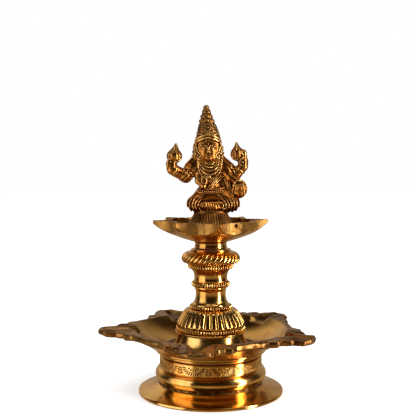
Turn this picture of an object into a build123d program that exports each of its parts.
from build123d import *
from math import cos, radians, sin
import os

# A standing oil lamp in cast brass: a hollow base, a large five-spouted dish, a turned
# stem, a small eight-pointed dish and a seated goddess figure, one screwed on the other.
# Millimetres. +Z is up, the front looks along -Y, and the origin lies on the lamp's axis
# in the plane of the resting rim.

# ---- driving dimensions -------------------------------------------------------------

# threads: one coarse size for the body of the lamp, a smaller one under the figure
MAIN_STUD_R = 4.8
GRIP = 8.0
FIGURE_STUD_R = 3.2
THREAD_CLEARANCE = 0.05
SOCKET_SPARE = 1.5
STUD_GAP = 1.2
SPIGOT_CLEARANCE = 0.3
WASHER_T = 0.6

# base
FOOT_R = 57.6
FOOT_EDGE = 2.4
BASE_WALL = 3.0
SCOTIA_R = 40.4
SCOTIA_Z = 9.6
BEAD_R = 44.2
BEAD_TOP = 20.8
DRUM_R = 40.8
DRUM_TOP = 30.0
DRUM_PLATE = 4.0

# lower dish
SPOUT_AXES = (262.0, 334.0, 406.0, 478.0, 542.0)
LOWER_FOOT_R = 39.6
LOWER_FLOOR = 35.6
LOWER_FLOOR_R = 36.0
LOWER_RIM = 51.2
BOWL_R = 60.8
TONGUE_R = 88.0
PETAL_R = 65.6
TONGUE_UNDER = 46.0
BOWL_SAG = 2.5
WICK_HALF_W = 7.5
WICK_TIP_HALF_W = 4.0
WICK_FLOOR_HALF_W = 5.0
WICK_FLOOR_TIP_HALF_W = 2.4
WICK_FLOOR = 47.6
BOSS_R = 9.6
BOSS_TOP = 50.0

# stem
COLLAR_R = 30.4
BELL_HOLLOW_R = 20.0
BELL_HOLLOW_TOP = 54.0
STEM_TOP = 114.4

# upper dish
POINTS = 8
POINT_START = 8.0
UPPER_NECK_R = 12.8
UPPER_NECK_TOP = 120.0
UPPER_RIM = 137.6
POINT_R = 46.0
POINT_UNDER = 131.6
POINT_HALF_W = 1.0
SCALLOP_SAG = 7.5
UPPER_WALL = 3.2
UPPER_FLOOR = 126.0
UPPER_FLOOR_R = 21.0
SPIGOT_R = 7.0
SPIGOT_TOP = 130.0

# figure
SEAT_FOOT_R = 18.6
SEAT_TOP = 143.2
SEAT_TOP_R = 13.6
CROWN_TIP = 228.0
LEAN = 4.4

# drum lock nut
NUT_FLATS = 15.0
NUT_T = 6.0
LOCK_WASHER_R = 10.0
LOCK_WASHER_T = 1.5

# ---- derived heights ----------------------------------------------------------------

DRUM_UNDER = DRUM_TOP - DRUM_PLATE
LOWER_SEAT = DRUM_TOP + WASHER_T
STEM_SEAT = LOWER_FLOOR + WASHER_T
UPPER_SEAT = STEM_TOP + WASHER_T
FIGURE_SEAT = UPPER_FLOOR + WASHER_T
BASE_STUD_TOP = LOWER_SEAT + GRIP
DISH_STUD_TOP = BELL_HOLLOW_TOP + GRIP
STEM_STUD_TOP = UPPER_SEAT + GRIP
FIGURE_STUD_TOP = SPIGOT_TOP + GRIP


# ---- helpers ------------------------------------------------------------------------

def turned(*edges):
    """A solid of revolution about +Z from the edges of its half section in XZ."""
    return revolve(Plane.XZ * make_face(Curve() + list(edges)), Axis.Z)


def outline(*points):
    """Straight edges through (radius, height) points, closed."""
    return Polyline(*points, close=True)


def rod(radius, low, high):
    """A round bar on the lamp's axis."""
    return Pos(0, 0, (low + high) / 2) * Cylinder(radius, high - low)


def ring(inner, outer, low, high):
    """A flat ring on the lamp's axis."""
    return rod(outer, low, high) - rod(inner, low - 1, high + 1)


def half_round(low, high, inner, outer):
    """A roll or bead that bulges from inner to outer radius between two heights."""
    middle = (low + high) / 2
    arc = ThreePointArc((inner, low), (outer, middle), (inner, high))
    closing = Polyline((inner, high), (0, high), (0, low), (inner, low))
    return turned(arc, closing)


def tapered(stations):
    """A turned shape with straight flanks through (radius, height) stations."""
    top, bottom = stations[-1][1], stations[0][1]
    return turned(outline((0, bottom), *stations, (0, top)))


def stud(radius, low, high):
    """A stud with chamfered ends; its thread is left plain at the crest radius."""
    bar = rod(radius, low, high)
    return chamfer(bar.edges().filter_by(GeomType.CIRCLE), radius * 0.15)


def polar(radius, degrees):
    return (radius * cos(radians(degrees)), radius * sin(radians(degrees)))


# ---- base ---------------------------------------------------------------------------

def base_casting():
    """Flared foot, big bead and drum in one hollow casting, with a plate on top."""
    inner_foot = FOOT_R - 4.5
    inner_waist = SCOTIA_R - BASE_WALL - 1
    foot = turned(
        Polyline((0, 0), (FOOT_R, 0), (FOOT_R, FOOT_EDGE)),
        ThreePointArc((FOOT_R, FOOT_EDGE), (47.0, 5.0), (SCOTIA_R, SCOTIA_Z)),
        Polyline((SCOTIA_R, SCOTIA_Z), (0, SCOTIA_Z), (0, 0)),
    )
    bead = half_round(SCOTIA_Z, BEAD_TOP, SCOTIA_R - 0.4, BEAD_R)
    drum = rod(DRUM_R, SCOTIA_Z, DRUM_TOP)
    hollow = turned(
        Polyline((0, -1), (inner_foot, -1), (inner_foot, 0)),
        ThreePointArc((inner_foot, 0), (43.0, 3.2), (inner_waist, SCOTIA_Z)),
        Polyline((inner_waist, SCOTIA_Z), (inner_waist, DRUM_UNDER), (0, DRUM_UNDER)),
        Line((0, DRUM_UNDER), (0, -1)),
    )
    bore = rod(MAIN_STUD_R + THREAD_CLEARANCE, DRUM_UNDER - 1, DRUM_TOP + 1)
    return foot + drum + bead - hollow - bore


def lock_nut():
    """Hexagonal nut that locks the base stud under the drum plate."""
    top = DRUM_UNDER - LOCK_WASHER_T
    flats = RegularPolygon(NUT_FLATS / 2, 6, major_radius=False)
    body = Pos(0, 0, top - NUT_T) * extrude(flats, NUT_T)
    corners = NUT_FLATS / 2 + 0.55
    rounding = tapered(
        [(corners - 0.8, top - NUT_T), (corners + 0.8, top - NUT_T + 1), (corners + 0.8, top)]
    )
    return (body & rounding) - rod(MAIN_STUD_R + THREAD_CLEARANCE, top - NUT_T - 1, top + 1)


def lock_washer():
    bore = MAIN_STUD_R + 0.25
    return ring(bore, LOCK_WASHER_R, DRUM_UNDER - LOCK_WASHER_T, DRUM_UNDER)


# ---- lower dish ---------------------------------------------------------------------

def spout_corners():
    """(radius, degrees from the spout's axis) of one side of a spout, tip to petal."""
    return [(87.4, 3.2), (84.0, 8.2), (77.0, 9.6), (76.2, 12.2), (70.6, 16.6), (72.6, 20.2), (67.6, 23.5)]


def lower_outline():
    """Plan of the lower dish: five leaf-shaped spouts joined by petals."""
    edges = []
    side = spout_corners()
    after = SPOUT_AXES[1:] + (SPOUT_AXES[0] + 360,)
    for axis, next_axis in zip(SPOUT_AXES, after):
        left = [polar(r, axis + turn) for r, turn in side]
        right = [polar(r, axis - turn) for r, turn in reversed(side)]
        edges.append(Polyline(*right))
        edges.append(ThreePointArc(right[-1], polar(TONGUE_R, axis), left[0]))
        edges.append(Polyline(*left))
        next_right = polar(side[-1][0], next_axis - side[-1][1])
        edges.append(ThreePointArc(left[-1], polar(PETAL_R, (axis + next_axis) / 2), next_right))
    return make_face(Curve() + edges)


def wick_groove():
    """The trough cut along one spout, before it is turned to the spout's angle."""
    over = LOWER_RIM + 1

    def section(at, half_w, floor_half_w):
        corners = [(-half_w, over), (half_w, over), (floor_half_w, WICK_FLOOR), (-floor_half_w, WICK_FLOOR)]
        face = make_face(Polyline(*corners, close=True))
        return Plane(origin=(at, 0, 0), x_dir=(0, 1, 0), z_dir=(1, 0, 0)) * face

    inner = section(BOWL_R - 8, WICK_HALF_W, WICK_FLOOR_HALF_W)
    outer = section(TONGUE_R - 2, WICK_TIP_HALF_W, WICK_FLOOR_TIP_HALF_W)
    return loft([inner, outer], ruled=True)


def lower_dish():
    """Cast dish with a conical bowl, a flat tongued rim and a threaded centre boss."""
    mid_r = (LOWER_FLOOR_R + BOWL_R) / 2 + BOWL_SAG * 0.53
    mid_z = (LOWER_FLOOR + LOWER_RIM) / 2 - BOWL_SAG * 0.85
    far = TONGUE_R + 2
    blank = tapered(
        [(LOWER_FOOT_R, LOWER_SEAT), (LOWER_FOOT_R + 0.8, 32.0), (61.2, TONGUE_UNDER),
         (far, TONGUE_UNDER), (far, LOWER_RIM)]
    )
    bowl = turned(
        Polyline((0, LOWER_RIM + 1), (0, LOWER_FLOOR), (LOWER_FLOOR_R, LOWER_FLOOR)),
        ThreePointArc((LOWER_FLOOR_R, LOWER_FLOOR), (mid_r, mid_z), (BOWL_R, LOWER_RIM)),
        Polyline((BOWL_R, LOWER_RIM), (BOWL_R, LOWER_RIM + 1), (0, LOWER_RIM + 1)),
    )
    plan = Pos(0, 0, LOWER_SEAT) * extrude(lower_outline(), LOWER_RIM - LOWER_SEAT)
    grooves = [Rot(0, 0, axis) * wick_groove() for axis in SPOUT_AXES]
    dish = (blank & plan) - bowl
    for groove in grooves:
        dish -= groove
    boss = tapered([(BOSS_R, LOWER_FLOOR - 1), (BOSS_R, BOSS_TOP - 1), (BOSS_R - 1, BOSS_TOP)])
    bore = MAIN_STUD_R + THREAD_CLEARANCE
    lower_socket = rod(bore, LOWER_SEAT - 1, BASE_STUD_TOP + SOCKET_SPARE)
    upper_socket = rod(MAIN_STUD_R + 0.01, BASE_STUD_TOP + SOCKET_SPARE + STUD_GAP, BOSS_TOP + 1)
    return dish + boss - lower_socket - upper_socket


# ---- stem ---------------------------------------------------------------------------

def stem_casting():
    """Flared collar, fluted bell, two waisted necks, four bead rings and a gadrooned cushion."""
    body = tapered(
        [(COLLAR_R, STEM_SEAT), (COLLAR_R, 37.2), (28.2, 40.6), (25.8, 44.4), (24.8, 48.0),
         (28.4, 48.4), (28.4, 49.4), (25.4, 49.8), (25.4, 53.4), (27.0, 54.0), (26.3, 56.6),
         (24.4, 60.0), (22.8, 62.6), (21.0, 65.3), (19.0, 66.8), (14.8, 67.2), (14.8, 70.2),
         (13.2, 72.6), (12.1, 76.8), (12.4, 82.4), (13.2, 90.0), (13.8, 95.2), (16.0, 98.8),
         (19.2, 102.4), (22.4, 104.4), (23.0, 106.4), (21.6, 109.6), (16.0, 112.8),
         (15.2, STEM_TOP)]
    )
    rings = [
        half_round(49.6, 53.6, 25.0, 27.8),
        half_round(66.8, 70.4, 14.4, 16.6),
        half_round(83.2, 88.8, 12.4, 15.6),
        half_round(98.8, 102.2, 15.6, 18.2),
    ]
    for bead in rings:
        body += bead
    bore = MAIN_STUD_R + THREAD_CLEARANCE
    body -= rod(BELL_HOLLOW_R, STEM_SEAT - 1, BELL_HOLLOW_TOP)
    body -= rod(bore, BELL_HOLLOW_TOP - 1, DISH_STUD_TOP + SOCKET_SPARE)
    return body - rod(bore, STEM_TOP - GRIP, STEM_TOP + 1)


# ---- upper dish ---------------------------------------------------------------------

def upper_outline(inset):
    """Plan of the upper dish: eight blunt points joined by hollow scallops."""
    reach = POINT_R - inset * 1.6
    half = POINT_HALF_W
    edges = []
    step = 360 / POINTS

    def end(axis, side):
        return (
            reach * cos(radians(axis)) - side * half * sin(radians(axis)),
            reach * sin(radians(axis)) + side * half * cos(radians(axis)),
        )

    waist = POINT_R * cos(radians(step / 2)) - SCALLOP_SAG - inset
    for number in range(POINTS):
        axis = POINT_START + number * step
        edges.append(Line(end(axis, -1), end(axis, 1)))
        middle = polar(waist, axis + step / 2)
        edges.append(ThreePointArc(end(axis, 1), middle, end(axis + step, -1)))
    return make_face(Curve() + edges)


def upper_dish():
    """Small star-shaped dish on a round neck, with a threaded boss for the figure."""
    far = POINT_R + 2
    slope = (POINT_UNDER - UPPER_NECK_TOP) / (POINT_R - UPPER_NECK_R)
    under_far = POINT_UNDER + slope * 2
    blank = tapered(
        [(UPPER_NECK_R, UPPER_SEAT), (UPPER_NECK_R, UPPER_NECK_TOP), (far, under_far),
         (far, UPPER_RIM)]
    )
    plan = Pos(0, 0, UPPER_SEAT) * extrude(upper_outline(0), UPPER_RIM - UPPER_SEAT)
    inner = Pos(0, 0, UPPER_SEAT) * extrude(upper_outline(UPPER_WALL), UPPER_RIM - UPPER_SEAT + 1)
    floor_far = UPPER_FLOOR + slope * (far - UPPER_FLOOR_R)
    hollow = turned(
        outline((0, UPPER_FLOOR), (UPPER_FLOOR_R, UPPER_FLOOR), (far, floor_far),
                (far, UPPER_RIM + 1), (0, UPPER_RIM + 1))
    )
    dish = (blank & plan) - (hollow & inner)
    dish += rod(SPIGOT_R, UPPER_FLOOR - 1, SPIGOT_TOP)
    dish -= rod(MAIN_STUD_R + THREAD_CLEARANCE, UPPER_SEAT - 1, STEM_STUD_TOP + STUD_GAP / 2)
    return dish - rod(FIGURE_STUD_R + 0.01, STEM_STUD_TOP, SPIGOT_TOP + 1)


# ---- figure -------------------------------------------------------------------------

def limb(start, end, start_r, end_r):
    """A tapered limb with a rounded end at each joint."""
    a, b = Vector(*start), Vector(*end)
    reach = b - a
    place = Plane(origin=a, z_dir=reach)
    middle = Pos(0, 0, reach.length / 2)
    bar = Cylinder(start_r, reach.length) if start_r == end_r else Cone(start_r, end_r, reach.length)
    bone = place * middle * bar
    return bone + Pos(a) * Sphere(start_r) + Pos(b) * Sphere(end_r)


def blob(center, size):
    """An egg-shaped mass given by its centre and its three half sizes."""
    unit = Sphere(1)
    return Pos(*center) * scale(unit, by=size)


def goddess_figure():
    """Seated four-armed goddess with a tall crown, on a fluted flared seat."""
    seat = tapered(
        [(SEAT_FOOT_R, FIGURE_SEAT), (SEAT_FOOT_R, 130.0), (17.5, 135.2), (14.6, 139.4),
         (SEAT_TOP_R, SEAT_TOP), (SEAT_TOP_R - 0.6, 146.0)]
    )
    body = seat
    body += blob((0, -2, 150), (15.5, 12.5, 8.0))
    body += blob((-14.5, -5, 149.6), (6.0, 7.0, 5.4))
    body += blob((14.5, -5, 149.8), (7.4, 7.0, 6.0))
    body += limb((0.5, 0, 152), (-1.0, 0, 166), 9.6, 8.4)
    body += limb((-1.0, 0, 166), (-1.6, 0, 178), 8.4, 10.0)
    body += limb((-14.0, 0.5, 180.5), (12.0, 0.5, 180.5), 4.4, 4.4)
    body += limb((-14.6, 0.5, 181), (-20.4, 0, 168.6), 4.2, 3.4)
    body += limb((-20.4, 0, 168.6), (-29.5, -2, 180.5), 3.4, 3.4)
    body += blob((-29.4, -2, 187.0), (6.4, 5.0, 7.4))
    body += Pos(-28.8, -2, 194.4) * Cone(3.6, 0.8, 7.0)
    body += limb((12.0, 0.5, 181), (20.2, 0, 171.0), 4.2, 3.4)
    body += limb((20.2, 0, 171.0), (23.6, -1, 182.0), 3.4, 3.4)
    body += blob((21.4, -1, 188.6), (6.4, 5.0, 6.8))
    body += Pos(19.6, -1, 195.6) * Cone(3.4, 0.8, 7.4)
    body += limb((17.0, -3, 172.0), (21.4, -8, 162.0), 3.2, 3.4)
    body += limb((21.4, -8, 162.0), (16.0, -7, 154.0), 3.4, 4.0)
    body += limb((-17.0, -3, 170.0), (-12.0, -9, 156.0), 3.2, 3.6)
    body += limb((-1.8, 0, 180), (-2.2, -0.6, 186), 4.6, 4.6)
    body += blob((-2.4, -1.0, 192.0), (7.2, 7.4, 9.0))
    body += blob((-3.0, 2.0, 190.0), (12.4, 4.6, 7.2))
    crown_foot = 199.0
    crown = Pos(-2.6, -0.4, (crown_foot + 222.0) / 2) * Cone(9.4, 3.0, 222.0 - crown_foot)
    body += crown
    tip_low = 220.0
    body += Pos(-LEAN, -0.4, (tip_low + CROWN_TIP) / 2) * Cone(2.8, 1.0, CROWN_TIP - tip_low)
    grip = FIGURE_STUD_R + THREAD_CLEARANCE
    body -= rod(grip, FIGURE_SEAT - 1, FIGURE_STUD_TOP + SOCKET_SPARE)
    return body - rod(SPIGOT_R + SPIGOT_CLEARANCE, FIGURE_SEAT - 1, SPIGOT_TOP + SPIGOT_CLEARANCE)


# ---- the lamp -----------------------------------------------------------------------

def pieces():
    """Every separate piece of the lamp by name, each in its place."""
    washer_bore = MAIN_STUD_R + 0.25
    nut_low = DRUM_UNDER - LOCK_WASHER_T - NUT_T
    dish_stud_low = BASE_STUD_TOP + SOCKET_SPARE + STUD_GAP
    figure_stud_low = STEM_STUD_TOP + STUD_GAP
    return {
        "base_casting": base_casting(),
        "base_stud": stud(MAIN_STUD_R, nut_low - 2, BASE_STUD_TOP),
        "base_lock_nut": lock_nut(),
        "base_lock_washer": lock_washer(),
        "lower_dish_gasket": ring(30.0, LOWER_FOOT_R - 0.8, DRUM_TOP, LOWER_SEAT),
        "lower_dish": lower_dish(),
        "lower_dish_stud": stud(MAIN_STUD_R, dish_stud_low, DISH_STUD_TOP),
        "stem_gasket": ring(21.0, COLLAR_R - 0.6, LOWER_FLOOR, STEM_SEAT),
        "stem_casting": stem_casting(),
        "stem_stud": stud(MAIN_STUD_R, STEM_TOP - GRIP, STEM_STUD_TOP),
        "upper_dish_gasket": ring(washer_bore, UPPER_NECK_R - 0.4, STEM_TOP, UPPER_SEAT),
        "upper_dish": upper_dish(),
        "figure_stud": stud(FIGURE_STUD_R, figure_stud_low, FIGURE_STUD_TOP),
        "figure_gasket": ring(SPIGOT_R + 0.5, SEAT_FOOT_R - 0.8, UPPER_FLOOR, FIGURE_SEAT),
        "goddess_figure": goddess_figure(),
    }


os.makedirs("parts", exist_ok=True)
for name, solid in pieces().items():
    export_step(solid, f"parts/{name}.step")
    print(name, round(solid.volume), len(solid.solids()))
